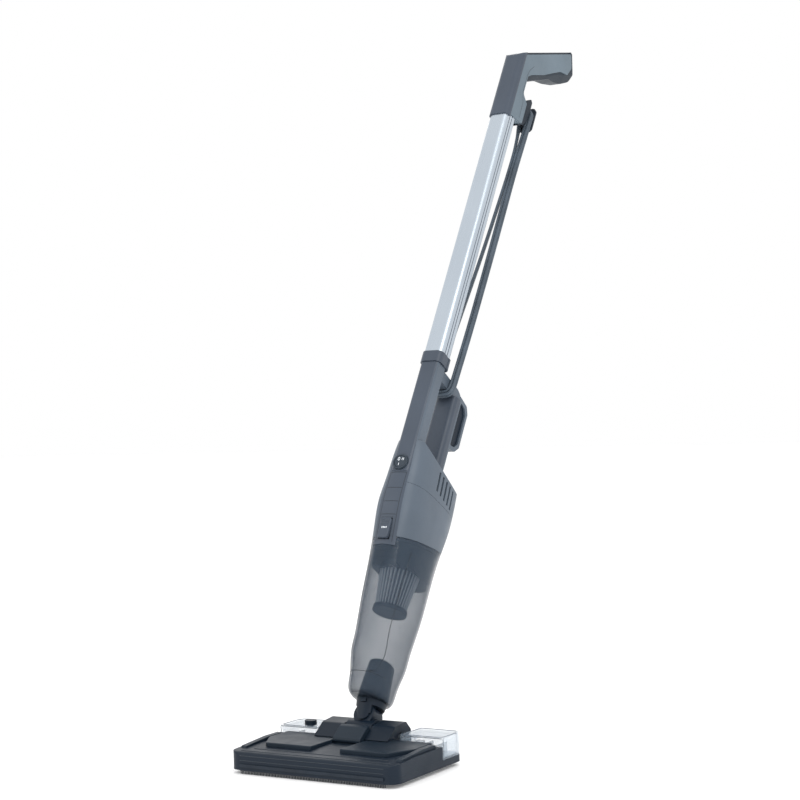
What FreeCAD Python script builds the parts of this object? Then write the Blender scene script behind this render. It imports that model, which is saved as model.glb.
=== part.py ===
import FreeCAD, Part
import math
import os

from FreeCAD import Placement, Rotation, Vector

# Corded stick vacuum cleaner with a mopping floor head, in millimetres.
# World frame: origin on the floor under the middle of the head, front -Y, up +Z.
# Pole frame: origin at the neck pivot, +Z along the pole, +Y to the back of the pole.

doc = FreeCAD.newDocument("stick_vacuum")
sheet = doc.addObject("Spreadsheet::Sheet", "sizes")
SIZES = {
    # floor head
    "head_width": 250, "head_depth": 164, "head_corner": 14, "base_low": 5, "base_high": 14,
    "cover_back": 30, "wall": 2.5, "mouth_width": 218, "mouth_depth": 16,
    "mouth_y": -64, "tank_front": 31, "tank_high": 42, "tank_wall": 2, "tank_gap": 62,
    "tank_bar": 12, "tank_bar_high": 32,
    "roller_radius": 6, "roller_width": 12, "roller_x": 100, "roller_y": 66,
    "pad_width": 232, "pad_depth": 96, "pad_high": 4.2,
    # neck
    "pivot_y": 42, "pivot_z": 38, "lean": 31.4, "barrel_radius": 17, "barrel_half": 20,
    "cheek_inner": 12.3, "column_low_radius": 15, "column_radius": 20.5, "column_top": 41, "roll_up": 22,
    "stub_radius": 15, "spigot_radius": 13.5, "spigot_top": 58, "axle_radius": 4,
    "roll_pin_radius": 3, "roll_pin_half": 15, "block_outer": 56,
    # dust bin and filter
    "joint_up": 260, "joint_slope": 12.4, "joint_back": -17, "bin_floor": 42, "bin_wall": 2.4,
    "duct_radius": 16, "duct_low_radius": 21, "duct_high_radius": 17.5, "duct_top": 92,
    "tongue_low": 236, "filter_back": -15,
    "filter_top": 232, "filter_low": 168, "cone_top_radius": 28, "cone_low_radius": 21,
    "disc_radius": 23.5, "pleats": 30,
    # hand vacuum
    "seam_up": 325, "shelf_up": 391, "beam_half": 14.5, "front_back": -82, "beam_back": -59,
    "beam_low": 342, "beam_top": 514, 
    "grip_front": -20, "grip_back": 2, "grip_half": 16, "post_deep": 8, "arch_half": 10,
    "arch_low": 498, "panel_thick": 2.5, "switch_up": 354, "switch_radius": 8.6,
    "button_low": 243, "button_high": 272, "button_half": 8, "motor_radius": 21,
    "fan_radius": 28, "slot_width": 4.2, "slots": 5, "slot_first": -32, "slot_pitch": 10.5,
    "slot_low": 337, "slot_high": 366, "slot_drop": 1.7,
    # wand and handle
    "collar_top": 531, "collar_half": 17, "tube_half": 15.5, "tube_deep": 30, "tube_front": -82,
    "tube_low": 517, "tube_top": 992, "tube_wall": 1.4, "tube_corner": 8,
    "handle_low": 953, "handle_half": 16.8, "front_half": 17.3, "front_shell_back": -74,
    # cord
    "cord_diameter": 4.6, "hank_low": 490.2, "hank_high": 1009, "hank_low_back": -32,
    "hank_high_back": -9, "hank_low_half": 15, "hank_high_half": 8,
}
# Cross-sections of the bin and body: how far up, middle, half width, half depth.
STATIONS = [
    (42, -5, 22, 30), (46, -6.5, 25.2, 34.3), (54, -7.5, 26.8, 37), (80, -9, 28.8, 42),
    (127, -11, 31.5, 48.5), (174, -12.5, 33.5, 54), (246, -16.7, 36, 58),
    (290, -18.5, 36, 62), (336, -17, 34, 64.5), (366, -17.5, 32, 63.9), (396, -18, 27.5, 63.2),
    (426, -18, 23, 63),
]
for row, (alias, size) in enumerate(SIZES.items(), start=1):
    sheet.set(f"A{row}", alias)
    sheet.set(f"B{row}", str(size))
    sheet.setAlias(f"B{row}", alias)
for row, station in enumerate(STATIONS, start=1):
    for column, word, size in zip("DEFG", ("up", "middle", "halfwide", "halfdeep"), station):
        sheet.set(f"{column}{row}", str(size))
        sheet.setAlias(f"{column}{row}", f"{word}_{'abcdefghijkl'[row - 1]}")
doc.recompute()


def size(alias):
    return float(sheet.get(alias))


WORLD = Placement()
POLE = Placement(
    Vector(0, size("pivot_y"), size("pivot_z")), Rotation(Vector(1, 0, 0), -size("lean"))
)
FAR = 400  # reach of the cutting blocks, past every piece
parts = []


def finish(obj, name, place=WORLD):
    """Makes obj a sub-part with its own label and place."""
    obj.Label = name
    obj.Placement = place
    parts.append(obj)
    return obj


def solid(name, shape, place=WORLD):
    """A sub-part whose shape is worked out from the sheet in code."""
    obj = doc.addObject("Part::Feature", name)
    obj.Shape = shape
    return finish(obj, name, place)


def block(x, y, z):
    """A box shape from three (low, high) pairs."""
    return Part.makeBox(x[1] - x[0], y[1] - y[0], z[1] - z[0], Vector(x[0], y[0], z[0]))


def rod(radius, start, end):
    """A cylinder shape from one point to another."""
    axis = Vector(*end) - Vector(*start)
    return Part.makeCylinder(radius, axis.Length, Vector(*start), axis)


def rounded(points, radii):
    """Lines and tangent arcs round a closed outline whose corners have these radii."""
    count = len(points)
    ends = []
    for i, radius in enumerate(radii):
        corner, before, after = points[i], points[i - 1], points[(i + 1) % count]
        back = (before - corner).normalize()
        on = (after - corner).normalize()
        half = back.getAngle(on) / 2
        cut = radius / math.tan(half)
        middle = corner + (back + on).normalize() * (radius / math.sin(half) - radius)
        ends.append((corner + back * cut, middle, corner + on * cut))
    edges = []
    for i, (start, middle, end) in enumerate(ends):
        if radii[i] > 0:
            edges.append(Part.Arc(start, middle, end))
        follow = ends[(i + 1) % count][0]
        if (follow - end).Length > 1e-6:
            edges.append(Part.LineSegment(end, follow))
    return edges


def outline(points, radius):
    """The rounded outline of (x, y) points; radius is one number or one for each corner."""
    radii = radius if isinstance(radius, (list, tuple)) else [radius] * len(points)
    return rounded([Vector(x, y, 0) for x, y in points], radii)


def flat(edges):
    """A flat face inside a closed outline."""
    return Part.Face(Part.Wire([e.toShape() for e in edges]))


def profile_x(points, low, high, radius=0):
    """A (y, z) outline drawn out along X between two limits."""
    face = flat(outline(points, radius))
    face.rotate(Vector(), Vector(1, 1, 1), 120)
    face.translate(Vector(low, 0, 0))
    return face.extrude(Vector(high - low, 0, 0))


def rectangle(half_x, low_y, high_y):
    return [(-half_x, low_y), (half_x, low_y), (half_x, high_y), (-half_x, high_y)]


def sketch(body, role, edges, offset=0.0):
    """A sketch on one of the body's own origin planes."""
    plane = next(f for f in body.Origin.OriginFeatures if f.Role == role)
    drawn = body.newObject("Sketcher::SketchObject", "Sketch")
    drawn.AttachmentSupport = [(plane, "")]
    drawn.MapMode = "FlatFace"
    drawn.AttachmentOffset = Placement(Vector(0, 0, offset), Rotation())
    drawn.addGeometry(edges, False)
    return drawn


def padded(name, role, edges, length, offset=0.0, place=WORLD, middle=False, cuts=(), edge=0):
    """A body padded from one outline, then pocketed and filleted.

    length is an expression on the sheet; each cut is (edges, expression, offset, reversed).
    """
    body = doc.addObject("PartDesign::Body", name)
    pad = body.newObject("PartDesign::Pad", "Pad")
    pad.Profile = sketch(body, role, edges, offset)
    pad.setExpression("Length", length)
    pad.Midplane = middle
    doc.recompute()
    for cut_edges, depth, cut_offset, flip in cuts:
        before = body.Shape.Volume
        pocket = body.newObject("PartDesign::Pocket", "Pocket")
        pocket.Profile = sketch(body, role, cut_edges, cut_offset)
        pocket.setExpression("Length", depth)
        pocket.Reversed = flip
        pocket.Midplane = middle
        doc.recompute()
        if body.Shape.Volume > before - 1:
            raise RuntimeError(f"{name}: a pocket removes nothing")
    if edge:
        base = body.Tip
        rim = body.newObject("PartDesign::Fillet", "Fillet")
        rim.Base = (base, rim_edges(base.Shape, role))
        rim.Radius = edge
        body.Tip = rim
        doc.recompute()
    return finish(body, name, place)


def rim_edges(shape, role):
    """Names of the edges round the two flat end faces of a pad."""
    axis = {"XY_Plane": 2, "YZ_Plane": 0, "XZ_Plane": 1}[role]
    names = []
    box = shape.BoundBox
    limits = [(box.XMin, box.XMax), (box.YMin, box.YMax), (box.ZMin, box.ZMax)][axis]
    for number, e in enumerate(shape.Edges, start=1):
        b = e.BoundBox
        span = [(b.XMin, b.XMax), (b.YMin, b.YMax), (b.ZMin, b.ZMax)][axis]
        if span[1] - span[0] < 1e-6 and min(abs(span[0] - v) for v in limits) < 1e-6:
            names.append(f"Edge{number}")
    return names


def cylinder(name, radius, height, start, axis, place=WORLD):
    """A Part::Cylinder with bound radius and height, from start along axis."""
    obj = doc.addObject("Part::Cylinder", name)
    obj.setExpression("Radius", radius)
    obj.setExpression("Height", height)
    local = Placement(Vector(*start), Rotation(Vector(0, 0, 1), Vector(*axis)))
    return finish(obj, name, place.multiply(local))


def box(name, lengths, corner, place=WORLD):
    """A Part::Box with three bound lengths, from its low corner."""
    obj = doc.addObject("Part::Box", name)
    for prop, expression in zip(("Length", "Width", "Height"), lengths):
        obj.setExpression(prop, expression)
    return finish(obj, name, place.multiply(Placement(Vector(*corner), Rotation())))


def hull(low, high, inset=0.0):
    """The lofted outer form of the bin and body between two heights, less an inset."""
    wires = []
    for letter in "abcdefghijkl":
        up, middle, wide, deep = (
            size(f"{word}_{letter}") for word in ("up", "middle", "halfwide", "halfdeep")
        )
        points = []
        boxy = 2.4 if up < size("joint_up") else 2.9
        for step in range(24):
            turn = 2 * math.pi * (step + 0.5) / 24
            x, y = math.cos(turn), math.sin(turn)
            full = (abs(x) ** boxy + abs(y) ** boxy) ** (-1 / boxy)
            points.append(Vector((wide - inset) * full * x, middle + (deep - inset) * full * y, up))
        curve = Part.BSplineCurve()
        curve.interpolate(points, PeriodicFlag=True)
        wires.append(Part.Wire(curve.toShape()))
    return Part.makeLoft(wires, True).common(block((-FAR, FAR), (-FAR, FAR), (low, high)))


def behind(point, normal):
    """A large block that ends in the plane through point, on the far side of its normal."""
    tool = block((-FAR, FAR), (-FAR, FAR), (-2 * FAR, 0))
    tool.Placement = Placement(Vector(*point), Rotation(Vector(0, 0, 1), Vector(*normal)))
    return tool


def beside_joint(gap, upper):
    """A block on the upper or lower side of the slanting joint between bin and body."""
    reach = (gap, FAR) if upper else (-FAR, gap)
    tool = block((-FAR, FAR), (-FAR, FAR), reach)
    tool.rotate(Vector(), Vector(1, 0, 0), size("joint_slope"))
    tool.translate(Vector(0, size("joint_back"), size("joint_up")))
    return tool


def under_slope(drop):
    """A block below the vented slope at the top back of the body, moved down by drop."""
    slope = block((-FAR, FAR), (-FAR, FAR), (-FAR, -drop))
    slope.rotate(Vector(), Vector(1, 0, 0), -18.4)
    slope.translate(Vector(0, size("grip_back"), size("shelf_up")))
    return slope


def below_shelf(drop):
    """What lies under the shelf of the handle loop, the slope behind it and a bevel on each side."""
    front = block((-FAR, FAR), (-FAR, size("grip_back")), (-FAR, size("shelf_up") - drop))
    back = under_slope(drop).common(block((-FAR, FAR), (size("grip_back"), FAR), (-FAR, FAR)))
    under = front.fuse(back)
    for side in (-1, 1):
        under = under.common(behind((side * 16, -45, size("shelf_up") - drop), (side, 0.21, 1)))
    return under


# ------------------------------------------------------------------ neck
def neck():
    radius, half = size("barrel_radius"), size("barrel_half")
    inner, roll = size("cheek_inner"), size("roll_up")
    column = size("column_radius")
    barrel = rod(radius, (-half, 0, 0), (half, 0, 0))
    stub = rod(size("stub_radius"), (0, 0.3 - inner, roll), (0, inner - 0.3, roll))
    root = block((-12, 12), (0.3 - inner, inner - 0.3), (0, roll))
    yoke = barrel.fuse([stub, root]).removeSplitter()
    yoke = yoke.cut(rod(size("axle_radius") + 0.05, (-half - 1, 0, 0), (half + 1, 0, 0)))
    yoke = yoke.cut(rod(size("roll_pin_radius") + 0.05, (0, -20, roll), (0, 20, roll)))
    solid("neck_yoke", yoke, POLE)
    cylinder(
        "pitch_axle", "sizes.axle_radius", "2 * sizes.block_outer - 8",
        (4 - size("block_outer"), 0, 0), (1, 0, 0), POLE,
    )
    low = 10
    rise = size("column_top") - low
    round_part = Part.makeCone(size("column_low_radius"), column, rise, Vector(0, 0, low))
    round_part.rotate(Vector(), Vector(0, 0, 1), 90)  # turns the cone's seam line to the back
    cheeks = block((-11, 11), (-FAR, FAR), (roll, 33))
    cheeks = cheeks.fuse([rod(9, (0, -20, roll), (0, 20, roll)), block((-30, 30), (-30, 30), (33, 60))])
    elbow = round_part.common(cheeks)
    gap = block((-30, 30), (-inner, inner), (0, roll))
    gap = gap.fuse(rod(size("stub_radius") + 0.4, (0, -inner, roll), (0, inner, roll)))
    elbow = elbow.cut(gap.fuse(block((-30, 30), (-inner, inner), (roll, roll + 6))))
    spigot = rod(size("spigot_radius"), (0, 0, size("column_top") - 2), (0, 0, size("spigot_top")))
    elbow = elbow.fuse(spigot).removeSplitter()
    elbow = elbow.cut(rod(size("spigot_radius") - 2.5, (0, 0, 39.5), (0, 0, 80)))
    pin_half = size("roll_pin_half")
    elbow = elbow.cut(rod(size("roll_pin_radius"), (0, -pin_half, roll), (0, 30, roll)))
    elbow = elbow.cut(block((-4.3, 4.3), (-30, -17), (34.7, 40.3)))
    solid("elbow", elbow, POLE)
    cylinder(
        "roll_pin", "sizes.roll_pin_radius", "2 * sizes.roll_pin_half + 1",
        (0, -pin_half, roll), (0, 1, 0), POLE,
    )
    box("elbow_button", ("8", "3", "5"), (-4, -21.6, 35), POLE)
    seal = rod(size("duct_radius") - 0.5, (0, 0, 41), (0, 0, 41.8))
    solid("inlet_seal", seal.cut(rod(13.8, (0, 0, 40), (0, 0, 43))), POLE)


# ------------------------------------------------------------------ dust bin and filter
def tongue(low, gap):
    """The narrow front zone that the panel covers, wider towards the bin."""
    edges = [(-13, 520), (-13, 395), (-17 - gap, 300), (-17 - gap, low), (17 + gap, low)]
    edges += [(17 + gap, 300), (13, 395), (13, 520)]
    face = flat(outline(edges, 0))
    face.rotate(Vector(), Vector(1, 0, 0), 90)
    face.translate(Vector(0, -45, 0))
    return face.extrude(Vector(0, -60, 0))


def dust_bin():
    wall, floor = size("bin_wall"), size("bin_floor")
    shell = hull(floor, 330).common(beside_joint(-0.15, False))
    shell = shell.cut(hull(floor + wall, 330, wall))
    shell = shell.cut(tongue(size("tongue_low") - 0.3, 0.3))
    shell = shell.cut(rod(size("duct_radius") + 0.05, (0, 0, 30), (0, 0, 60)))
    band = hull(200, 235, -0.9).cut(hull(200, 235, 0.2)).common(block((-9, 9), (-FAR, -40), (200, 235)))
    ribs = [band.common(block((-9, 9), (-FAR, 0), (up, up + 1.6))) for up in range(208, 230, 5)]
    solid("bin_shell", shell.fuse(ribs).removeSplitter(), POLE)
    low_radius, high_radius, inside = size("duct_low_radius"), size("duct_high_radius"), floor + wall
    duct = rod(size("duct_radius"), (0, 0, floor), (0, 0, 110))
    duct = duct.fuse(Part.makeCone(low_radius, high_radius, 50, Vector(0, 0, inside + 0.05)))
    duct = duct.fuse(rod(high_radius, (0, 0, inside + 50), (0, 0, 110))).removeSplitter()
    duct = duct.cut(rod(size("spigot_radius") + 0.3, (0, 0, 30), (0, 0, 120)))
    top = block((-30, 30), (-30, 30), (0, 60))
    top.rotate(Vector(), Vector(1, 0, 0), -12)
    top.translate(Vector(0, 0, size("duct_top")))
    duct = duct.cut(top)
    solid("inlet_duct", duct, POLE)
    lid = rod(size("duct_radius") - 0.5, (0, 0, 0.4), (0, 0, 2.4))
    lid = lid.fuse(rod(1.5, (-8, 15, 1.9), (8, 15, 1.9)))
    lid.rotate(Vector(), Vector(1, 0, 0), -12)
    lid.translate(Vector(0, 0, size("duct_top")))
    solid("inlet_flap", lid.removeSplitter(), POLE)
    ring = hull(200, 300, wall + 0.3).cut(hull(200, 300, wall + 2.3))
    ring = ring.common(beside_joint(-4.5, True)).common(beside_joint(-0.2, False))
    ring = ring.cut(tongue(200, 1))
    solid("bin_seal", ring, POLE)


def star(radius, depth, up):
    """A pleated ring of straight edges."""
    points = []
    for step in range(2 * int(size("pleats"))):
        reach = radius - (depth if step % 2 else 0)
        turn = math.pi * step / size("pleats")
        points.append(Vector(reach * math.cos(turn), size("filter_back") + reach * math.sin(turn), up))
    return Part.makePolygon(points + points[:1])


def dust_filter():
    top, low, back = size("filter_top"), size("filter_low"), size("filter_back")
    wide, small = size("cone_top_radius"), size("cone_low_radius")
    cup = hull(top - 16, 300, 4.8).cut(hull(top - 16, 300, 6.8))
    cup = cup.common(beside_joint(1.0, False))
    floor = hull(top - 16, top - 13.5, 4.8)
    cup = cup.fuse(floor).removeSplitter()
    cup = cup.cut(rod(wide + 1, (0, back, top - 30), (0, back, top)))
    cup = cup.cut(tongue(200, 1))
    solid("filter_frame", cup, POLE)
    pleats = Part.makeLoft([star(small, 3, low), star(wide, 3.5, top - 12)], True, True)
    hollow = Part.makeCone(small - 6, wide - 6.5, top - 12 - low, Vector(0, back, low))
    solid("filter_pleats", pleats.cut(hollow), POLE)
    collar = rod(wide + 0.7, (0, back, top - 12), (0, back, top - 4))
    collar = collar.cut(rod(wide - 5, (0, back, top - 20), (0, back, top)))
    grips = []
    for turn in (0, 120, 240):
        grip = block((-2, 2), (wide - 4, wide + 0.4), (top - 4, top - 1))
        grip.rotate(Vector(), Vector(0, 0, 1), turn)
        grip.translate(Vector(0, back, 0))
        grips.append(grip)
    solid("filter_ring", collar.fuse(grips).removeSplitter(), POLE)
    cylinder("filter_disc", "sizes.disc_radius", "6", (0, back, low - 6), (0, 0, 1), POLE)


# ------------------------------------------------------------------ hand vacuum
def beam(inset):
    """The front beam of the handle loop, from the body up to the collar."""
    half = size("beam_half") - inset
    edges = outline(rectangle(half, size("front_back") + inset, size("beam_back") - inset),
                    [6 - inset, 6 - inset, 2, 2])
    face = flat(edges)
    face.translate(Vector(0, 0, size("beam_low")))
    return face.extrude(Vector(0, 0, size("beam_top") - size("beam_low")))


def loop():
    """The arch and the rear post of the handle loop."""
    half, arch = size("grip_half") - 1, size("arch_half")
    top, low = size("beam_top"), size("arch_low")
    front, back = size("beam_back") - 4, size("grip_back")
    points = [(front, top), (front, low), (back - 10, low - 3)]
    points += [(back, low - 3), (back, top - 8), (back - 10, top - 3)]
    bow = profile_x(points, -arch, arch, [0, 0, 0, 0, 6, 20])
    post = outline(rectangle(half, back - size("post_deep"), back), [0, 0, 3, 3])
    face = flat(post)
    face.translate(Vector(0, 0, 370))
    return bow, face.extrude(Vector(0, 0, 496 - 370))


def outer_body():
    body = hull(200, 396).common(below_shelf(0))
    return body.fuse(beam(0)).removeSplitter()


def hand_vacuum():
    wall, seam = size("wall"), size("seam_up")
    whole = outer_body()
    zone = tongue(size("tongue_low"), 0)
    back = whole.copy()
    back.translate(Vector(0, size("panel_thick"), 0))
    panel = whole.common(zone).cut(back)
    panel = max(panel.Solids, key=lambda piece: piece.Volume)
    button, edge = size("button_half"), 0.4
    hole = block((-button - edge, button + edge), (-120, -60),
                 (size("button_low") - edge, size("button_high") + edge))
    dial = rod(size("switch_radius") + 2.6, (0, -120, size("switch_up")), (0, -60, size("switch_up")))
    solid("front_panel", panel.cut(hole).cut(dial), POLE)

    inner = hull(200, 396, wall).common(below_shelf(wall))
    lower = whole.common(beside_joint(0.15, True)).common(block((-FAR, FAR), (-FAR, FAR), (0, seam)))
    lower = lower.cut(inner).cut(zone.common(block((-FAR, FAR), (-FAR, FAR), (0, seam + 0.5))))
    solid("motor_cover", max(lower.Solids, key=lambda piece: piece.Volume), POLE)

    bow, post = loop()
    upper = whole.common(block((-FAR, FAR), (-FAR, FAR), (seam + 0.4, FAR * 2)))
    upper = upper.fuse([bow, post]).removeSplitter()
    channel = block((-9.5, 9.5), (size("front_back") + 5.5, size("beam_back") - 3), (380, 506))
    behind_panel = zone.common(block((-FAR, FAR), (-FAR, FAR), (0, size("shelf_up") - 4)))
    upper = upper.cut(inner).cut(behind_panel).cut(panel).cut(channel)
    for number in range(int(size("slots"))):
        at = size("slot_first") + size("slot_pitch") * number
        fall = size("slot_drop") * number
        low, high = size("slot_low") - fall, size("slot_high") - fall
        slot = block((-FAR, FAR), (at, at + size("slot_width")), (low, high))
        middle = block((-17, 17), (-FAR, FAR), (0, 500))
        upper = upper.cut(slot.cut(middle))
    half = upper.common(block((-FAR, -0.05), (-FAR, FAR), (300, FAR * 2)))
    half = max(half.Solids, key=lambda piece: piece.Volume)
    solid("body_shell_left", half.cut(rod(6.05, (-19, 12, 350), (-19, 12, 400))), POLE)
    solid("body_shell_right", half.mirror(Vector(), Vector(1, 0, 0)), POLE)

    rear = size("grip_back") - size("post_deep") - 0.2
    grip = outline(rectangle(size("grip_half") + 1, size("grip_front"), rear), [7, 7, 0, 0])
    grip = flat(grip)
    grip.translate(Vector(0, 0, 372))
    grip = grip.extrude(Vector(0, 0, size("arch_low") - 3.5 - 372))
    solid("grip_insert", grip.cut(below_shelf(-0.2)), POLE)
    switch_up, radius = size("switch_up"), size("switch_radius")
    front = -85.2
    bezel = rod(radius + 2.4, (0, front, switch_up), (0, front + 8, switch_up))
    bezel = bezel.cut(rod(radius + 0.5, (0, -120, switch_up), (0, front + 5, switch_up)))
    solid("switch_bezel", bezel, POLE)
    dial = rod(radius, (0, front + 0.4, switch_up), (0, front + 3, switch_up))
    pivot = rod(1.2, (-5, front + 3, switch_up), (5, front + 3, switch_up))
    solid("power_switch", dial.fuse(pivot), POLE)
    press = outline(rectangle(button, size("button_low"), size("button_high")), 3)
    padded("release_button", "XZ_Plane", press, "5.5", 74.3, place=POLE, edge=0.8)


def ear():
    """The D-shaped ear behind the grip, with a shallow dent on each side."""
    half, start = size("arch_half"), size("grip_back") + 0.2
    rim = [(start, 424), (22, 427), (31, 438), (31, 492), (24, 502), (start, 506)]
    dent = [(7, 430), (19, 433), (26, 442), (26, 488), (20, 496), (7, 499)]
    shape = profile_x(rim, -half, half, [0, 6, 6, 6, 6, 0])
    for low, high in ((-half - 1, 3.5 - half), (half - 3.5, half + 1)):
        shape = shape.cut(profile_x(dent, low, high, 3))
    solid("cord_ear", shape, POLE)
    inserts = [profile_x(dent, low, low + 0.8, 3) for low in (2.7 - half, half - 3.5)]
    solid("ear_inserts", Part.makeCompound(inserts), POLE)


def motor():
    back, low = size("filter_back"), 276
    radius, fan = size("motor_radius"), size("fan_radius")
    housing = rod(fan, (0, back, low), (0, back, low + 17))
    housing = housing.cut(rod(fan - 1.8, (0, back, low + 1.8), (0, back, low + 15.2)))
    housing = housing.cut(rod(8, (0, back, low - 1), (0, back, low + 3)))
    housing = housing.cut(rod(6, (0, back, low + 14), (0, back, low + 18)))
    can = rod(radius, (0, back, low + 17), (0, back, low + 56))
    can = can.cut(rod(radius - 1.5, (0, back, low + 18.5), (0, back, low + 54.5)))
    can = can.cut(rod(3, (0, back, low), (0, back, low + 60)))
    solid("motor_housing", housing.fuse(can).removeSplitter(), POLE)
    shaft = rod(2.5, (0, back, low + 2.6), (0, back, low + 60))
    hub = rod(6, (0, back, low + 3.4), (0, back, low + 12))
    disc = rod(fan - 4, (0, back, low + 11), (0, back, low + 12.6))
    vanes = []
    for number in range(9):
        vane = block((5, fan - 4), (-0.6, 0.6), (low + 4, low + 11.3))
        vane.rotate(Vector(), Vector(0, 0, 1), number * 40)
        vane.translate(Vector(0, back, 0))
        vanes.append(vane)
    solid("impeller", hub.fuse([disc] + vanes).cut(shaft).removeSplitter(), POLE)
    armature = rod(radius - 4, (0, back, low + 22), (0, back, low + 50))
    solid("motor_rotor", armature.fuse(shaft).removeSplitter(), POLE)
    grille = hull(230, 330, size("wall") + 0.3)
    grille = grille.common(beside_joint(1.0, True)).common(beside_joint(4.0, False))
    grille = grille.cut(tongue(200, 1))
    for step in range(-3, 4):
        grille = grille.cut(block((-17, 17), (back + step * 7 - 2, back + step * 7 + 2), (200, 330)))
    solid("intake_grille", grille, POLE)
    solid("circuit_board", block((-9, 9), (-72.5, -70.9), (336, 380)), POLE)
    solid("exhaust_foam", block((-20, 20), (-34, 6), (342, 362)), POLE)


# ------------------------------------------------------------------ wand and handle
def wand():
    front, deep, half = size("tube_front"), size("tube_deep"), size("tube_half")
    corner = size("tube_corner")
    section = outline(rectangle(half, front, front + deep), corner)
    thin = size("tube_wall")
    bore = outline(rectangle(half - thin, front + thin, front + deep - thin), corner - thin)
    grooves = [
        (outline([(side * (half + 1), front + at), (side * (half - 0.7), front + at),
                  (side * (half - 0.7), front + at + 1.6), (side * (half + 1), front + at + 1.6)], 0),
         "sizes.tube_top - sizes.tube_low", size("tube_low"), True)
        for side in (-1, 1) for at in (9.5, 15.5)
    ]
    padded("wand_tube", "XY_Plane", section, "sizes.tube_top - sizes.tube_low", size("tube_low"),
           place=POLE, cuts=[(bore, "sizes.tube_top", 0, True)] + grooves)
    ring = outline(rectangle(size("collar_half"), front - 1.8, front + deep + 1.8), corner + 1)
    seat = outline(rectangle(half + 0.1, front - 0.1, front + deep + 0.1), corner + 0.1)
    step = [(outline([(side * 18, -66), (side * 16.2, -66), (side * 16.2, -60), (side * 18, -60)], 0),
             "sizes.collar_top", 0, True) for side in (-1, 1)]
    padded("wand_collar", "XY_Plane", ring, "sizes.collar_top - sizes.beam_top - 0.5",
           size("beam_top") + 0.5, place=POLE,
           cuts=[(seat, "sizes.collar_top", size("tube_low"), True)] + step)
    padded("collar_latch", "XZ_Plane", outline(rectangle(5, 518, 527), 1.5), "2.2", 47.8, place=POLE)


def handle():
    low, back, front = size("handle_low"), size("front_shell_back"), -84
    strip, end = 4.2, 46
    rise = math.tan(math.radians(40))

    def top(y):
        return 1060 + (y - front) * rise

    tube_front, deep, half = size("tube_front"), size("tube_deep"), size("tube_half") + 0.1
    section = rectangle(half, tube_front - 0.1, tube_front + deep + 0.1)
    section = outline(section, size("tube_corner") + 0.1)
    socket = flat(section)
    socket.translate(Vector(0, 0, 900))
    socket = socket.extrude(Vector(0, 0, size("tube_top") + 0.2 - 900))
    wide, side = size("front_half"), size("handle_half")
    shell = [(front, low - 3), (front, top(front) + strip), (back, top(back) + strip), (back, low - 3)]
    curved = profile_x(shell, -wide, wide, [0, 7, 0, 0])
    bow = flat(outline(rectangle(wide, front, back), [9, 9, 0, 0]))
    curved = curved.common(bow.extrude(Vector(0, 0, 1200)))
    solid("handle_front_shell", curved.cut(socket), POLE)

    rear = [(back + 0.1, low), (back + 0.1, top(back)), (end, top(end)), (57.5, 1149), (50, 1129.5)]
    rear += [(29, 1119), (5, 1096), (-13, 1078), (-46, 1051), (-55, 1041), (-55, 1008), (-39, 1000)]
    rear += [(-39, low + 10)]
    whole = profile_x(rear, -side, side, [0, 0, 4, 5, 3, 12, 30, 30, 8, 4, 6, 3, 0])
    solid("handle_rear_shell", whole.cut(socket), POLE)

    pad = [(end - 1, 1145), (end - 1, top(end - 1) + strip), (50, 1172.5), (62.5, 1151), (67, 1142)]
    pad += [(68, 1131), (49, 1112), (24, 1095), (6, 1086.5), (-16, 1066.5), (-54.8, 1032.5)]
    pad += [(-54.8, 1045), (-46, 1058), (5, 1104), (29, 1126)]
    half = side - 1
    under = profile_x(pad, -half, half, [0, 0, 2, 5, 5, 10, 30, 30, 30, 30, 0, 0, 0, 0, 0])
    for turn in (-1, 1):
        under = under.common(behind((turn * half, 7, 1093.7), (turn, 0.354, -0.421)))
    over = [(back + 0.2, top(back) + 0.1), (end - 1.2, top(end - 1.2) + 0.1)]
    over += [(end - 1.2, top(end - 1.2) + strip), (back + 0.2, top(back) + strip)]
    over = profile_x(over, -14, 14)
    solid("grip_trims", Part.makeCompound([under.cut(whole), over]), POLE)


def cord_hook():
    """The upper cord hook: a plate behind the handle, a post and a flared lip."""
    low = size("handle_low")
    plate = [(-38.8, low + 8), (-24, low + 20), (-15.4, low + 36), (-15.4, 1021), (-20, 1025)]
    plate += [(-34, 1012), (-38.8, 1004)]
    shape = profile_x(plate, -10, 10, [0, 4, 4, 2, 3, 3, 0])
    post = block((-3, 3), (-16, 0), (984, 1001)).fuse(rod(3, (0, -16, 1001), (0, 0, 1001)))
    lip = flat(outline(rectangle(11, 978, 1022), 7))
    lip.rotate(Vector(), Vector(1, 0, 0), 90)
    lip.translate(Vector(0, 1.6, 0))
    lip = lip.extrude(Vector(0, -3.8, 0))
    solid("upper_cord_hook", shape.fuse([post, lip]).removeSplitter(), POLE)


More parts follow.
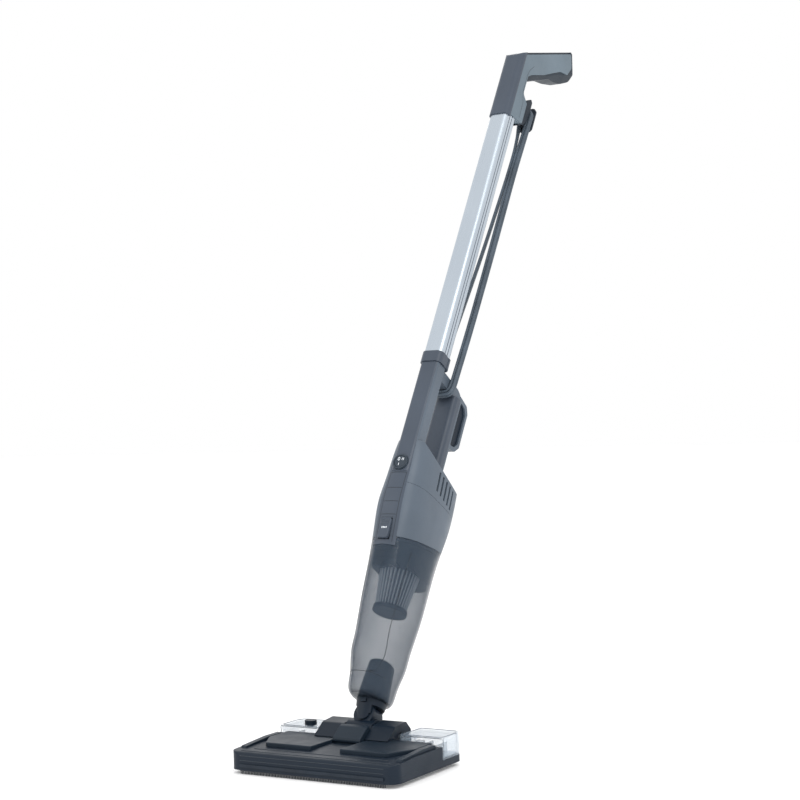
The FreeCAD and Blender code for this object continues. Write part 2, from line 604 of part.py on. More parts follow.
# ------------------------------------------------------------------ cord
def hank():
    """The wound cord's outer shape: a long ring from the loop's arch to the upper hook."""
    thick = 2 * size("cord_diameter") + 0.2
    reach, low_half, high_half = size("hank_high") - size("hank_low"), *map(
        size, ("hank_low_half", "hank_high_half")
    )
    half = thick / 2
    rise = math.hypot(reach, size("hank_high_back") - size("hank_low_back"))

    def ring(grow, low_radius, high_radius):
        corners = [(-low_half - grow, -grow), (low_half + grow, -grow),
                   (high_half + grow, rise + grow), (-high_half - grow, rise + grow)]
        return outline(corners, [low_radius, low_radius, high_radius, high_radius])

    body = doc.addObject("PartDesign::Body", "cord_hank")
    pad = body.newObject("PartDesign::Pad", "Pad")
    pad.Profile = sketch(body, "XY_Plane", ring(half, 12, 12.2) + ring(-half, 3, 3))
    pad.setExpression("Length", "2 * sizes.cord_diameter + 0.2")
    pad.Midplane = True
    tilt = math.degrees(math.atan2(size("hank_high_back") - size("hank_low_back"), reach))
    foot_at = Vector(0, size("hank_low_back"), size("hank_low"))
    local = Placement(foot_at, Rotation(Vector(1, 0, 0), 90 - tilt))
    finish(body, "cord_hank", POLE.multiply(local))


def tube(name, route, diameter):
    """A cord along straight runs joined by tangent arcs, as large as the runs allow."""
    points = [Vector(*p) for p in route]
    edges, start = [], points[0]
    for before, corner, after in zip(points, points[1:], points[2:]):
        back, on = (before - corner), (after - corner)
        run = min(back.Length, on.Length)
        back.normalize()
        on.normalize()
        half_turn = (math.pi - back.getAngle(on)) / 2
        cut = 0.45 * run
        radius = cut / math.tan(half_turn)
        print(f"{name}: arc radius {radius:.0f} mm")
        bow = radius / math.cos(half_turn) - radius
        middle = corner + (back + on).normalize() * bow
        edges.append(Part.LineSegment(start, corner + back * cut).toShape())
        edges.append(Part.Arc(corner + back * cut, middle, corner + on * cut).toShape())
        start = corner + on * cut
    edges.append(Part.LineSegment(start, points[-1]).toShape())
    path = Part.Wire(edges)
    circle = Part.makeCircle(diameter / 2, points[0], points[1] - points[0])
    shape = path.makePipeShell([Part.Wire(circle)], True, False)
    expected = math.pi * diameter**2 / 4 * path.Length
    if abs(shape.Volume / expected - 1) > 0.01:
        raise RuntimeError(f"{name}: volume {shape.Volume:.0f}, expected {expected:.0f}")
    print(f"{name}: length {path.Length:.0f} mm")
    solid(name, shape, POLE)


# The lead from the gland to the hank, in the pole frame.
LEAD = [
    (-19, 12, 388), (-20, 12.5, 426), (-21, 8, 464), (-21.5, -4, 500), (-19.5, -16, 530),
    (-15.7, -25, 562),
]
PLUG_AT = (-20.4, -26, 600)
PLUG_AIM = (-9, -1, 38)


def cord():
    hank()
    tube("cord_lead", LEAD, size("cord_diameter"))
    gland = rod(6, (-19, 12, 361), (-19, 12, 375)).fuse(
        Part.makeCone(5.2, 3.2, 13, Vector(-19, 12, 375), Vector(0, 0, 1)))
    solid("cord_gland", gland.removeSplitter(), POLE)
    aim = Vector(*PLUG_AIM).normalize()
    start = Vector(*PLUG_AT)
    boot = Part.makeCone(2.6, 5, 18, start, aim)
    frame = Placement(start + aim * 18, Rotation(Vector(0, 0, 1), aim))
    plug = Part.makeBox(18, 12, 32, Vector(-9, -6, 0))
    plug = plug.makeFillet(3, plug.Edges)
    plug.Placement = frame.multiply(plug.Placement)
    solid("plug_body", boot.fuse(plug).removeSplitter(), POLE)
    pins = []
    for side in (-5.5, 5.5):
        pin = rod(2, (side, 0, 32), (side, 0, 49.5))
        pin = pin.fuse(Part.makeSphere(2, Vector(side, 0, 49.5))).removeSplitter()
        pin.Placement = frame
        pins.append(pin)
    solid("plug_pins", Part.makeCompound(pins), POLE)


# ------------------------------------------------------------------ floor head
def foot(inset, low, high, corner):
    half, deep = size("head_width") / 2 - inset, size("head_depth") / 2 - inset
    face = flat(outline(rectangle(half, -deep, deep), corner))
    face.translate(Vector(0, 0, low))
    return face.extrude(Vector(0, 0, high - low))


def floor_head():
    half, deep = size("head_width") / 2, size("head_depth") / 2
    low, high, wall = size("base_low"), size("base_high"), size("wall")
    corner = size("head_corner")
    mouth_half, mouth_y = size("mouth_depth") / 2, size("mouth_y")
    mouth = outline(rectangle(size("mouth_width") / 2, mouth_y - mouth_half, mouth_y + mouth_half), 3)
    cuts = [(mouth, "2 * sizes.base_high", 0, True)]
    roller, at = size("roller_width") / 2 + 1, size("roller_x")
    for side in (-1, 1):
        well = [(side * at + x, y) for x, y in rectangle(roller + 2, 58.5, 73.5)]
        cuts.append((outline(well, 0), "12.6", 0, True))
    padded("head_base", "XY_Plane", outline(rectangle(half, -deep, deep), corner),
           "sizes.base_high - sizes.base_low", low, cuts=cuts)

    cover = profile_x([(-deep, high), (-deep, 25), (-79, 28), (-32, 30.5), (size("cover_back"), 30.5),
                       (size("cover_back"), high)], -half, half, [0, 2, 8, 8, 0, 0])
    cover = cover.common(foot(0, 0, 60, corner))
    inside = [(wall - deep, 0), (wall - deep, 24), (-77, 25.5), (-32, 28), (27.5, 28), (27.5, 0)]
    hollow = profile_x(inside, wall - half, half - wall).common(foot(wall, 0, 60, corner - wall))
    recess = block((-21.5, 21.5), (2, 40), (0, 60))
    solid("head_cover", cover.cut(hollow).cut(recess))
    rail = half - 12

    trims, blocks, axles = [], [], []
    for side, name in ((-1, "left"), (1, "right")):
        ledge = [(side * x, y) for x, y in ((22, -48), (92, -48), (111, -14), (111, 29), (22, 29))]
        plate = flat(outline(ledge, [1, 8, 6, 2, 1]))
        plate.translate(Vector(0, 0, 28))
        plate = plate.extrude(Vector(0, 0, 7.2))
        top = [e for e in plate.Edges if e.BoundBox.ZMin > 35]
        trims.append(plate.makeFillet(1.4, top).cut(cover))
        block_x = sorted((side * 22, side * size("block_outer")))
        bearing = [(8, 35.2), (30, 51), (56, 54), (68, 42), (68, high + 0.1), (30.2, high + 0.1)]
        bearing = profile_x(bearing + [(30.2, 35.2)], *block_x, [1, 8, 6, 6, 0, 0, 0])
        axle = rod(size("axle_radius"), (-80, size("pivot_y"), size("pivot_z")),
                   (80, size("pivot_y"), size("pivot_z")))
        blocks.append(bearing.cut(axle))
        edge = [(-62, 28), (20, 28), (20, 35), (-10, 35), (-60, 31.4)]
        edge = profile_x(edge, *sorted((side * rail, side * (rail + 8))), [0, 0, 2, 6, 1])
        trims.append(edge.cut(cover))
        axle_low = side * at - roller
        radius = size("roller_radius")
        axle_high, back = axle_low + 2 * roller, size("roller_y")
        wheel = rod(radius, (axle_low + 1, back, radius), (axle_high - 1, back, radius))
        wheel = wheel.cut(rod(1.6, (-FAR, back, radius), (FAR, back, radius)))
        solid(f"roller_{name}", wheel)
        axles.append(rod(1.5, (axle_low - 2, back, radius), (axle_high + 2, back, radius)))
    solid("head_trims", Part.makeCompound(trims))
    solid("pivot_blocks", Part.makeCompound(blocks))
    solid("roller_axles", Part.makeCompound(axles))
    nose = profile_x([(-8, 31), (18, 50), (24, 52), (24, high + 0.2), (2.2, high + 0.2), (2.2, 31)],
                     -21, 21, [4, 8, 1, 0, 0, 0])
    nose = nose.cut(block((-18.5, 18.5), (12, 30), (0, 43)))
    solid("pivot_cover", nose)
    padded("front_bumper", "XZ_Plane", outline(rectangle(108, 9, 13), 1.5), "1.4", deep)
    padded("bristle_strip", "XY_Plane", outline(rectangle(109, -81, -77), 1), "4.9", 0)
    pad = outline(rectangle(size("pad_width") / 2, -50, -50 + size("pad_depth")), 8)
    padded("mop_pad", "XY_Plane", pad, "sizes.pad_high", 0)
    up = size("pad_high")
    strips = [block((-100, 100), (y, y + 18), (up, low)) for y in (-37, 15)]
    solid("velcro_strips", Part.makeCompound(strips))
    throat = block((-18, 18), (-70, 1.8), (high + 0.1, 25))
    solid("suction_duct", throat.cut(block((-16.5, 16.5), (-68.5, 10), (high - 1, 23.5))))
    screws = [rod(2.8, (x, y, low - 0.9), (x, y, low)) for x, y in
              ((-117, 52), (117, 52), (-60, 62), (60, 62), (0, 62), (0, 76))]
    solid("base_screws", Part.makeCompound(screws))


def water_tank():
    front, high, wall = size("tank_front"), size("tank_high"), size("tank_wall")
    gap, bar, low = size("tank_gap"), size("tank_bar"), size("base_high") + 0.2

    def form(inset, bottom, top):
        whole = foot(inset, bottom, top, size("head_corner") - inset)
        whole = whole.common(block((-FAR, FAR), (front + inset, FAR), (0, 100)))
        back, middle = size("head_depth") / 2 - bar - inset, (-gap - inset, gap + inset)
        whole = whole.cut(block(middle, (back - 1, FAR), (size("tank_bar_high") + top - high, 100)))
        return whole.cut(block(middle, (-FAR, back), (0, 100)))

    tank = form(0, low, high).cut(form(wall, low + wall, high - wall))
    neck_at = (-86, 46)
    tank = tank.cut(rod(5, (*neck_at, high - 3), (*neck_at, high + 1)))
    solid("water_tank", tank)
    stem = rod(4.7, (*neck_at, high - 2), (*neck_at, high))
    cap = rod(8, (*neck_at, high), (*neck_at, high + 6))
    for turn in range(0, 180, 30):
        groove = block((-12, -7.4), (-0.6, 0.6), (high + 1.5, high + 7))
        groove = groove.fuse(block((7.4, 12), (-0.6, 0.6), (high + 1.5, high + 7)))
        groove.rotate(Vector(), Vector(0, 0, 1), turn)
        groove.translate(Vector(*neck_at, 0))
        cap = cap.cut(groove)
    solid("tank_cap", cap.fuse(stem).removeSplitter())
    ribs = []
    for x in (-110, -70, 70, 90, 110):
        ribs.append(block((x - 0.6, x + 0.6), (front + 3, 66), (low + wall, 30)))
    pipes = [rod(3, (x, 60, low + wall), (x, 60, low + 16)) for x in (-78, 78)]
    solid("tank_fittings", Part.makeCompound(ribs + pipes))
    latch = outline(rectangle(11, 21, 31), 2)
    padded("tank_latch", "XZ_Plane", latch, "2.4", -size("head_depth") / 2 - 2.5)


neck()
dust_bin()
dust_filter()
hand_vacuum()
ear()
motor()
wand()
handle()
cord_hook()
cord()
floor_head()
water_tank()

doc.recompute()
broken = [o.Label for o in doc.Objects if {"Invalid", "Error"} & set(o.State)]
broken += [p.Label for p in parts if p.Shape.isNull() or not p.Shape.isValid()]
if broken:
    raise RuntimeError(f"not valid: {broken}")
os.makedirs("parts", exist_ok=True)
for part in parts:
    part.Shape.exportStep(f"parts/{part.Label}.step")
    print(f"{part.Label}: {len(part.Shape.Solids)} solid(s), {part.Shape.Volume / 1000:.2f} cm3")
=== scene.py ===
"""Looks of the corded stick vacuum cleaner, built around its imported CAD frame. Metres."""
import math

import bmesh
import bpy
from mathutils import Matrix, Vector
from mathutils.bvhtree import BVHTree


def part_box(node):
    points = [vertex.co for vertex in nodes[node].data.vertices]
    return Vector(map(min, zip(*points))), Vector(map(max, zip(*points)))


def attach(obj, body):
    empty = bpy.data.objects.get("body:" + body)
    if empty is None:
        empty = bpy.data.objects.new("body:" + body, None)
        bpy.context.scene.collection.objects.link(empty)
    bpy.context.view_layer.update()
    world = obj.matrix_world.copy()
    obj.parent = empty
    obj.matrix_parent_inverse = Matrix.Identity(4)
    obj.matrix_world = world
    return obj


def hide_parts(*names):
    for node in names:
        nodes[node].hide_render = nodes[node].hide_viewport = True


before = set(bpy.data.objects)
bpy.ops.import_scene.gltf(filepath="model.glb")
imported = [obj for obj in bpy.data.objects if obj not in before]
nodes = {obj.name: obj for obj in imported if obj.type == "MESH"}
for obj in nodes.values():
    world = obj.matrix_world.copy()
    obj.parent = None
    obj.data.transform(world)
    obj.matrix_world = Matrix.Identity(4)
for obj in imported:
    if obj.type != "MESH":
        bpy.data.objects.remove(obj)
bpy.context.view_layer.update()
scene = bpy.context.scene

# Pole frame: x across, v to the back of the pole, u up the pole, in millimetres from the neck pivot.
PIVOT = Vector((0, 0.042, 0.038))
LEAN = math.radians(31.4)
UP = Vector((0, math.sin(LEAN), math.cos(LEAN)))
BACK = Vector((0, math.cos(LEAN), -math.sin(LEAN)))
# Brings the filter's axis to the origin once the leaning pole has been turned upright.
FILTER_SHIFT = (0, -0.00105, -0.0543)


def pole(x, v, u):
    """A point of the pole frame, in the row frame."""
    return PIVOT + (Vector((x, 0, 0)) + BACK * v + UP * u) / 1000


# ------------------------------------------------------------------ camera
EYE, TURNED, ROLLED = (1.2519, -1.8597, 0.4671), 31.8, -2  # metres, then degrees


def camera():
    data = bpy.data.cameras.new("photo_camera")
    data.sensor_width, data.lens = 36, 79.02
    obj = bpy.data.objects.new("photo_camera", data)
    obj.matrix_world = (
        Matrix.Translation(EYE)
        @ Matrix.Rotation(math.radians(TURNED), 4, "Z")
        @ Matrix.Rotation(math.radians(90), 4, "X")
        @ Matrix.Rotation(math.radians(ROLLED), 4, "Z")
    )
    scene.collection.objects.link(obj)
    scene.camera = obj


camera()


# ------------------------------------------------------------------ materials
class Shader:
    """A short way to write a material's nodes."""

    def __init__(self, name, **sockets):
        self.material = bpy.data.materials.new(name)
        self.material.use_nodes = True
        self.tree = self.material.node_tree
        self.principled = self.tree.nodes["Principled BSDF"]
        for socket, value in sockets.items():
            self.principled.inputs[socket.replace("_", " ")].default_value = value
        colour = sockets.get("Base_Color")
        if colour:
            self.material.diffuse_color = colour

    def node(self, kind, inputs=None, **settings):
        made = self.tree.nodes.new("ShaderNode" + kind)
        for key, value in settings.items():
            setattr(made, key, value)
        for key, value in (inputs or {}).items():
            if isinstance(value, bpy.types.NodeSocket):
                self.tree.links.new(value, made.inputs[key])
            else:
                made.inputs[key].default_value = value
        return made

    def place(self, scale=(1, 1, 1), leaning=False):
        """The piece's own coordinates, in metres, stretched; leaning ones run along the pole."""
        where = self.node("TexCoord").outputs["Object"]
        if leaning:
            where = self.node("Mapping", {0: where, 1: FILTER_SHIFT, 2: (LEAN, 0, 0)}).outputs[0]
        return self.node("Mapping", {0: where, 3: scale}).outputs[0]

    def noise(self, scale, detail=3, rough=0.55, stretch=(1, 1, 1), leaning=False):
        return self.node("TexNoise", {"Vector": self.place(stretch, leaning), "Scale": scale,
                                      "Detail": detail, "Roughness": rough}).outputs["Fac"]

    def ramp(self, value, low, high, start=0.0, end=1.0):
        """value from start to end, mapped to low to high."""
        return self.node("MapRange", {0: value, 1: start, 2: end, 3: low, 4: high}).outputs[0]

    def mix(self, factor, low, high):
        made = self.node("Mix", {0: factor, 6: low, 7: high}, data_type="RGBA")
        return made.outputs[2]

    def math(self, operation, a, b=0.0):
        return self.node("Math", {0: a, 1: b}, operation=operation).outputs[0]

    def link(self, output, socket):
        self.tree.links.new(output, self.principled.inputs[socket])

    def bump(self, height, strength, distance, normal=None):
        inputs = {"Height": height, "Strength": strength, "Distance": distance}
        if normal:
            inputs["Normal"] = normal
        made = self.node("Bump", inputs)
        self.link(made.outputs[0], "Normal")
        return made.outputs[0]


def shade(colour, factor):
    return tuple(min(1, c * factor) for c in colour[:3]) + (1,)


def plastic(name, colour, rough=0.42, grain=1.0, edge=0.0006, shine=0.3):
    """Moulded plastic: fine spark-eroded grain, soft moulded edges and a little edge wear and dust."""
    s = Shader(name, Base_Color=colour, Specular_IOR_Level=shine)
    soft = s.node("Bevel", {"Radius": edge}, samples=6).outputs[0]
    sharp = s.node("NewGeometry").outputs["Normal"]
    turn = s.node("VectorMath", {0: soft, 1: sharp}, operation="DOT_PRODUCT").outputs["Value"]
    worn = s.ramp(turn, 1.0, 0.0, 0.86, 0.995)
    patches = s.noise(9, 4)
    broad = s.mix(s.ramp(patches, 0, 1, 0.35, 0.7), shade(colour, 0.9), shade(colour, 1.09))
    rubbed = s.math("MULTIPLY", worn, s.ramp(s.noise(160, 3), 0.15, 0.6, 0.35, 0.7))
    s.link(s.mix(rubbed, broad, shade(colour, 1.75)), "Base Color")
    s.link(s.ramp(s.noise(26, 3), rough - 0.06, rough + 0.09, 0.3, 0.7), "Roughness")
    s.bump(s.noise(2600, 2, 0.6), 0.16 * grain, 0.00008, soft)
    return s.material


def clear(name, colour, see, edge_on, rough=0.06, coat=1.0, rim=0.7, shine=0.3):
    """Clear moulding: see-through face on, more solid and glossier where it turns away."""
    s = Shader(name, Base_Color=colour, Specular_IOR_Level=shine, IOR=1.5, Coat_Weight=coat,
               Coat_Roughness=0.03)
    facing = s.node("LayerWeight", {"Blend": 0.5}).outputs["Facing"]
    steep = s.math("POWER", facing, 2.6)
    haze = s.ramp(s.noise(16, 4), -0.02, 0.03, 0.3, 0.7)
    s.link(s.math("ADD", s.ramp(steep, see, edge_on), haze), "Alpha")
    s.link(s.mix(steep, shade(colour, 1.05), shade(colour, rim)), "Base Color")
    s.link(s.ramp(s.noise(40, 3), rough, rough + 0.08, 0.3, 0.75), "Roughness")
    s.bump(s.noise(30, 2), 0.12, 0.0004)
    return s.material


DARK = (0.006, 0.013, 0.024, 1)
SLATE = (0.011, 0.02, 0.032, 1)
PANEL = (0.058, 0.073, 0.098, 1)
SHELL = (0.09, 0.114, 0.145, 1)
TRIM = (0.013, 0.022, 0.033, 1)
SWITCH = (0.03, 0.042, 0.057, 1)
LIGHT = (0.118, 0.158, 0.192, 1)


def brushed():
    s = Shader("aluminium_brushed", Base_Color=(0.52, 0.58, 0.64, 1), Metallic=1.0, Anisotropic=0.5)
    streaks = s.noise(900, 3, 0.6, (1, 1, 0.004), leaning=True)
    s.link(s.ramp(streaks, 0.24, 0.36, 0.3, 0.7), "Roughness")
    s.link(s.mix(s.noise(7, 3), (0.48, 0.54, 0.61, 1), (0.58, 0.64, 0.7, 1)), "Base Color")
    s.bump(streaks, 0.05, 0.00005)
    return s.material


def steel(name, colour, rough=0.3):
    s = Shader(name, Base_Color=colour, Metallic=1.0)
    s.link(s.ramp(s.noise(500, 3), rough - 0.06, rough + 0.12, 0.3, 0.7), "Roughness")
    s.bump(s.noise(1500, 2), 0.08, 0.00005)
    return s.material


def rubber(name, colour, rough=0.62):
    s = Shader(name, Base_Color=colour, Specular_IOR_Level=0.35)
    blotches = s.ramp(s.noise(22, 4), 0, 1, 0.35, 0.7)
    s.link(s.mix(blotches, shade(colour, 0.82), shade(colour, 1.25)), "Base Color")
    s.link(s.ramp(s.noise(60, 3), rough - 0.08, rough + 0.1, 0.3, 0.7), "Roughness")
    s.bump(s.noise(1800, 3), 0.2, 0.0001)
    return s.material


def cloth(name, colour, pitch, depth):
    """Looped pile: small rounded cells, with a painted highlight on the loop tops and painted shade between
    the loops.
    """
    s = Shader(name, Base_Color=colour, Roughness=0.95, Specular_IOR_Level=0.15, Sheen_Weight=0.4)
    cells = s.node("TexVoronoi", {"Vector": s.place(), "Scale": 1 / pitch}).outputs["Distance"]
    # Painted light: the loop tops are lightened and the gaps between the loops darkened.
    s.link(s.mix(cells, shade(colour, 1.35), shade(colour, 0.45)), "Base Color")
    s.bump(s.math("SUBTRACT", 1.0, cells), 0.9, depth)
    return s.material


def paper():
    """Pleated paper: pale ridges with painted shade in the valleys between them, round the filter's own
    axis.
    """
    s = Shader("pleated_paper", Base_Color=(0.5, 0.54, 0.58, 1), Roughness=0.9, Specular_IOR_Level=0.15)
    across = s.node("SeparateXYZ", {0: s.place(leaning=True)})
    turn = s.math("ARCTAN2", across.outputs[1], across.outputs[0])
    ridge = s.ramp(s.math("COSINE", s.math("MULTIPLY", turn, 30)), 0, 1, -0.6, 0.8)
    grain = s.ramp(s.noise(240, 4), 0.85, 1, 0.3, 0.7)
    # The dark valley colour paints the shade in the pleat folds; the ridge mask picks where it goes.
    valley_shade, crest = (0.06, 0.075, 0.095, 1), (0.5, 0.55, 0.6, 1)
    s.link(s.mix(s.math("MULTIPLY", ridge, grain), valley_shade, crest), "Base Color")
    s.bump(s.noise(1500, 4), 0.35, 0.0001)
    return s.material


def foam():
    s = Shader("open_foam", Base_Color=(0.03, 0.03, 0.034, 1), Roughness=1.0, Specular_IOR_Level=0.1)
    holes = s.node("TexVoronoi", {"Vector": s.place(), "Scale": 900}).outputs["Distance"]
    s.link(s.mix(holes, (0.06, 0.06, 0.065, 1), (0.01, 0.01, 0.012, 1)), "Base Color")
    s.bump(holes, 0.8, 0.0004)
    return s.material


def board():
    s = Shader("board_green", Base_Color=(0.02, 0.13, 0.05, 1), Roughness=0.35)
    bricks = s.node("TexBrick", {"Vector": s.place((400, 400, 400)), "Scale": 1.0, "Mortar Size": 0.08})
    tracks = bricks.outputs["Fac"]
    s.link(s.mix(tracks, (0.015, 0.11, 0.045, 1), (0.04, 0.24, 0.1, 1)), "Base Color")
    s.bump(tracks, 0.3, 0.0001)
    return s.material


def paint(name, colour, rough=0.5):
    s = Shader(name, Base_Color=colour, Roughness=rough)
    s.link(s.mix(s.noise(120, 3), shade(colour, 0.9), shade(colour, 1.08)), "Base Color")
    s.bump(s.noise(900, 2), 0.1, 0.00005)
    return s.material


M = {
    "dark": plastic("dark_plastic", DARK, 0.42, shine=0.22),
    "panel": plastic("panel_plastic", PANEL, 0.36, 0.8),
    "shell": plastic("shell_plastic", SHELL, 0.4),
    "light": plastic("light_plastic", LIGHT, 0.4),
    "slate": plastic("slate_plastic", SLATE, 0.42, shine=0.22),
    "switch": plastic("switch_plastic", SWITCH, 0.4),
    "trim": plastic("grip_trim_plastic", TRIM, 0.45, shine=0.25),
    "smoked": clear("smoked_clear", (0.068, 0.092, 0.125, 1), 0.34, 0.99, rough=0.08, coat=0.1, rim=0.35,
                    shine=0.08),
    "tank": clear("clear_tank", (0.42, 0.52, 0.62, 1), 0.13, 0.88),
    "tank_inside": clear("tank_inside", (0.16, 0.2, 0.25, 1), 0.28, 0.9),
    "tube": brushed(),
    "steel": steel("steel_turned", (0.62, 0.63, 0.65, 1)),
    "brass": steel("pin_nickel", (0.75, 0.7, 0.58, 1), 0.22),
    "rubber": rubber("soft_rubber", (0.009, 0.016, 0.027, 1)),
    "cord": rubber("cord_rubber", (0.062, 0.082, 0.105, 1), 0.5),
    "mop": cloth("mop_fabric", (0.2, 0.24, 0.28, 1), 0.0022, 0.001),
    "velcro": cloth("hook_tape", (0.03, 0.03, 0.035, 1), 0.0012, 0.0006),
    "bristle": rubber("nylon_bristle", (0.03, 0.035, 0.045, 1), 0.4),
    "paper": paper(),
    "foam": foam(),
    "board": board(),
    "white": paint("white_mark", (0.82, 0.86, 0.9, 1)),
    "line": paint("groove_shadow", (0.012, 0.018, 0.026, 1), 0.6),
    "rim": paint("moulded_rim", (0.05, 0.066, 0.088, 1), 0.35),
    "ledge": paint("head_ledge", (0.016, 0.026, 0.039, 1), 0.4),
    # Painted shade laid in the hollows of the wand's grooves.
    "groove": paint("tube_groove_shade", (0.075, 0.095, 0.125, 1), 0.5),
}

# The dark ear_inserts stand for the shade in the cord ear's recesses: painted shade.
USES = {
    "dark": "head_base head_cover pivot_blocks neck_yoke elbow inlet_duct upper_cord_hook ear_inserts "
            "filter_frame filter_disc suction_duct tank_cap intake_grille motor_housing impeller "
            "filter_ring",
    "switch": "power_switch switch_bezel",
    "panel": "front_panel release_button grip_insert handle_front_shell wand_collar collar_latch",
    "shell": "motor_cover body_shell_left body_shell_right cord_ear",
    "light": "handle_rear_shell", "slate": "head_trims pivot_cover elbow_button tank_latch",
    "trim": "grip_trims",
    "smoked": "bin_shell inlet_flap", "tank": "water_tank", "tank_inside": "tank_fittings",
    "rubber": "front_bumper bin_seal inlet_seal roller_left roller_right", "tube": "wand_tube",
    "steel": "pitch_axle roll_pin roller_axles base_screws motor_rotor", "brass": "plug_pins",
    "paper": "filter_pleats", "foam": "exhaust_foam", "mop": "mop_pad", "velcro": "velcro_strips",
    "bristle": "bristle_strip", "board": "circuit_board",
    "cord": "cord_hank cord_lead cord_gland plug_body",
}


def dress():
    for look, names in USES.items():
        for name in names.split():
            obj = nodes[name]
            if not obj.material_slots:
                obj.data.materials.append(M[look])
            for part in obj.material_slots:
                part.link = "OBJECT"
                part.material = M[look]


dress()


# ------------------------------------------------------------------ making pieces
def mesh_piece(name, verts, faces, look, body, smooth=True):
    data = bpy.data.meshes.new(name)
    data.from_pydata([tuple(v) for v in verts], [], faces)
    data.validate()
    data.shade_smooth() if smooth else data.shade_flat()
    obj = bpy.data.objects.new(name, data)
    obj.data.materials.append(M[look])
    scene.collection.objects.link(obj)
    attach(obj, body)
    return obj


def tree_of(*names):
    """A ray target made of these CAD nodes."""
    verts, faces = [], []
    for name in names:
        obj, start = nodes[name], len(verts)
        verts += [obj.matrix_world @ v.co for v in obj.data.vertices]
        faces += [[start + i for i in p.vertices] for p in obj.data.polygons]
    return BVHTree.FromPolygons(verts, faces)


def ribbon(name, tree, route, aim, width, height, look, body, slot, closed=False, step=0.003):
    """A thin raised or dark line along route, laid onto the surface that rays along aim meet first."""
    dense = []
    pairs = list(zip(route, route[1:] + (route[:1] if closed else [])))
    for a, b in pairs[: len(pairs) if closed else len(route) - 1]:
        count = max(1, round((b - a).length / step))
        dense += [a.lerp(b, i / count) for i in range(count)]
    if not closed:
        dense.append(route[-1])
    line = []
    for point in dense:
        hit, normal, _, _ = tree.ray_cast(point - aim * 0.08, aim)
        if hit is None:
            raise RuntimeError(f"{name}: no surface at {point}")
        line.append((hit, normal if normal.dot(aim) < 0 else -normal))
    verts, faces, count = [], [], len(line)
    for i, (hit, normal) in enumerate(line):
        before = line[i - 1][0] if closed or i else hit
        after = line[(i + 1) % count][0] if closed or i < count - 1 else hit
        side = (after - before).cross(normal).normalized() * width / 2
        low, top = hit - normal * 0.0003, hit + normal * height
        verts += [low - side, top - side * 0.7, top + side * 0.7, low + side]
    for i in range(count if closed else count - 1):
        a, b = 4 * i, 4 * ((i + 1) % count)
        faces += [(a + j, a + j + 1, b + j + 1, b + j) for j in range(3)]
        faces.append((a + 3, a, b, b + 3))
    if not closed:
        faces += [(0, 3, 2, 1), tuple(4 * (count - 1) + j for j in range(4))]
    return mesh_piece(name, verts, faces, look, body)


# ------------------------------------------------------------------ power cord
CORD = 0.0046
# The four strands of the hank: how far outwards and backwards each lies, and the same on the left flank.
LANES = [(2.35, 2.35), (-2.35, 2.35), (-2.35, -2.35), (2.35, -2.35)]
LEFT_LANES = [(3.6, 5.9), (1.2, 2), (-3.6, -5.9), (-1.2, -2)]
LEFT_BACK = 3  # the left flank as a whole lies this much further back
LEAD = [(-19, 12, 388), (-20, 12.5, 426), (-21, 8, 464), (-21.5, -4, 500), (-19.5, -16, 530)]
TAIL = [(-18.4, -28, 576), (-20, -26.2, 597), (-20.9, -26.05, 602)]
HANK_LOW, HANK_HIGH = 490.2, 1009
LOW_BACK, HIGH_BACK = -32, -9
LOW_HALF, HIGH_HALF = 15, 8
LOW_CORNER, FOLD_SPARE = 10.5, 1.6  # the lower fold's corner radius, and what the upper one adds to its half
# The hand-wound flanks sag together: how far up, then how far out the left and the right one are.
SAG = [(490, 15, 15), (530, 14, 15), (600, 10.5, 15), (740, 5, 12), (890, 1.8, 8.3), (960, 3, 8.4),
       (1009, 8, 8.4)]


def flank(side, up, out, back):
    """A point on a flank of the hank, in the pole frame."""
    low, high = next((a, b) for a, b in zip(SAG, SAG[1:]) if up <= b[0])
    share = (up - low[0]) / (high[0] - low[0])
    column = 1 if side < 0 else 2
    half = low[column] + (high[column] - low[column]) * share + out
    along = (up - HANK_LOW) / (HANK_HIGH - HANK_LOW)
    wave = 0.3 * math.sin(7 * along + back + 2 * side)
    return (side * (half + wave), LOW_BACK + (HIGH_BACK - LOW_BACK) * along + back, up)


def end(up, half, radius, middle, back, rising):
    """The four points of a fold round a hook, from one flank to the other."""
    cut, sign = 0.586 * radius, 1 if rising else -1
    points = [(-half, middle + back, up - sign * cut), (-half + cut, middle + back, up),
              (half - cut, middle + back, up), (half, middle + back, up - sign * cut)]
    return points if rising else points[::-1]


def cord_route():
    route, last = list(LEAD), len(LANES) - 1
    for turn, (out, back) in enumerate(LANES):
        left_out, left_back = LEFT_LANES[turn]
        route += [flank(-1, up, left_out, left_back + LEFT_BACK) for up in (585, 650, 740, 820, 890, 945)]
        fold = HIGH_HALF + FOLD_SPARE + out * 0.4
        route += end(HANK_HIGH + out, fold, fold, HIGH_BACK, back, True)
        route += [flank(1, up, out, back) for up in (985, 950, 890, 820, 740, 660, 590, 525)]
        route += end(HANK_LOW - out, LOW_HALF + out, LOW_CORNER + out * 0.5, LOW_BACK, back, False)
        if turn < last:
            after = LANES[turn + 1]
            route.append(flank(-1, 530, (out + after[0]) * 0.7, (back + after[1]) * 0.7))
        else:
            route += [flank(-1, 530, out, back)] + TAIL
    return route


def power_cord():
    curve = bpy.data.curves.new("power_cord", "CURVE")
    curve.dimensions, curve.bevel_depth, curve.bevel_resolution = "3D", CORD / 2, 4
    curve.resolution_u, curve.use_fill_caps = 8, True
    route = cord_route()
    spline = curve.splines.new("NURBS")
    spline.points.add(len(route) - 1)
    for point, place in zip(spline.points, route):
        point.co = (*pole(*place), 1)
    spline.order_u = 3
    spline.use_endpoint_u = True
    obj = bpy.data.objects.new("power_cord", curve)
    curve.materials.append(M["cord"])
    scene.collection.objects.link(obj)
    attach(obj, "hand_vacuum")
    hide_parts("cord_hank", "cord_lead")


power_cord()


